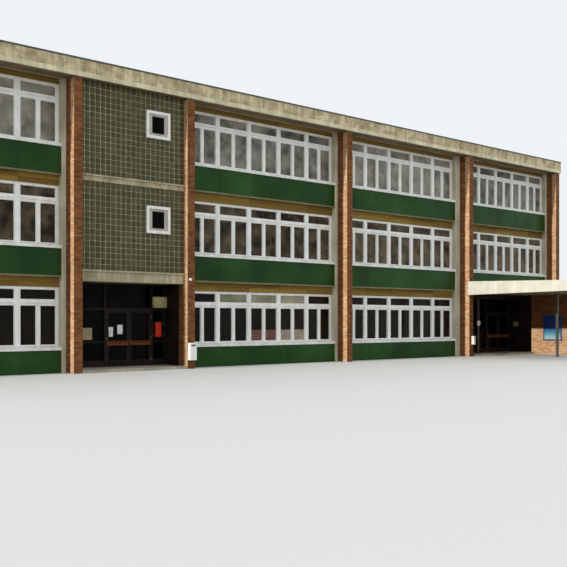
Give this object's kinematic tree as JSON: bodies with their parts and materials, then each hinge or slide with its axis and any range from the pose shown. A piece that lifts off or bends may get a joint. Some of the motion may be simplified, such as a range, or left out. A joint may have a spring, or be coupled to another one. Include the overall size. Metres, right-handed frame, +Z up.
{
  "type": "school building",
  "caption": "Three-storey flat-roofed school block with brick fins, green panels, window bands, a glass block stair bay, recessed entrances and a canopy.",
  "frame": {"origin": "ground level, middle of the plan of the building and its canopy together", "axes": "+X along the front, left to right as seen from the forecourt; +Y into the building; +Z up"},
  "size_m": [38.07, 18.425, 10.77],
  "materials": {
    "concrete": "cast concrete",
    "pale_concrete": "weathered painted concrete",
    "brick": "red-brown facing brick",
    "green_glass": "dark green enamelled glass panel",
    "white_frame": "white painted window frame",
    "tan_board": "tan painted blind box",
    "window_glass": "clear window glass",
    "glass_block": "ribbed glass block",
    "fascia": "mottled beige fascia",
    "dark_metal": "dark sheet metal",
    "dark_frame": "dark bronze frame",
    "canopy_white": "cream painted concrete",
    "board_blue": "blue notice case"
  },
  "bodies": {
    "building": {"ground_slab": "concrete", "first_floor_slab": "concrete", "second_floor_slab": "concrete", "roof_slab": "concrete", "long_fascias": "fascia", "end_fascias": "fascia", "long_cappings": "dark_metal", "end_cappings": "dark_metal", "end_walls": "brick", "front_fins": "brick", "rear_fins": "brick", "front_columns": "pale_concrete", "rear_columns": "pale_concrete", "front_parapets": "concrete", "rear_parapets": "concrete", "front_spandrels": "green_glass", "rear_spandrels": "green_glass", "front_sills": "white_frame", "rear_sills": "white_frame", "front_blind_boxes": "tan_board", "rear_blind_boxes": "tan_board", "front_windows_ground": "white_frame", "front_windows_first": "white_frame", "front_windows_second": "white_frame", "rear_windows": "white_frame", "front_glass": "window_glass", "rear_glass": "window_glass", "front_glass_blocks": "glass_block", "rear_glass_blocks": "glass_block", "front_bands": "pale_concrete", "rear_bands": "pale_concrete", "stair_window_frames": "white_frame", "stair_window_glass": "window_glass", "stair_recess_walls": "brick", "stair_screen": "dark_frame", "hall_recess_wall": "brick", "hall_side_wall": "brick", "hall_screen": "dark_frame", "entrance_glass": "window_glass", "canopy_slab": "concrete", "canopy_side_fascias": "canopy_white", "canopy_front_fascia": "canopy_white", "canopy_posts": "dark_metal", "notice_board": "board_blue"},
    "stair_door_left": {"stair_door_left": "dark_frame"},
    "stair_door_right": {"stair_door_right": "dark_frame"},
    "hall_door_left": {"hall_door_left": "dark_frame"},
    "hall_door_right": {"hall_door_right": "dark_frame"}
  },
  "joints": [
    {"name": "stair_door_left_hinge", "type": "hinge", "parent": "building", "child": "stair_door_left", "pos_m": [-8.617, -1.0968, 1.1], "axis": [0, 0, -1], "range_deg": [0, 90]},
    {"name": "stair_door_right_hinge", "type": "hinge", "parent": "building", "child": "stair_door_right", "pos_m": [-6.705, -1.0968, 1.1], "axis": [0, 0, 1], "range_deg": [0, 90]},
    {"name": "hall_door_left_hinge", "type": "hinge", "parent": "building", "child": "hall_door_left", "pos_m": [14.325, -1.0968, 1.1], "axis": [0, 0, -1], "range_deg": [0, 90]},
    {"name": "hall_door_right_hinge", "type": "hinge", "parent": "building", "child": "hall_door_right", "pos_m": [16.337, -1.0968, 1.1], "axis": [0, 0, 1], "range_deg": [0, 90]}
  ]
}
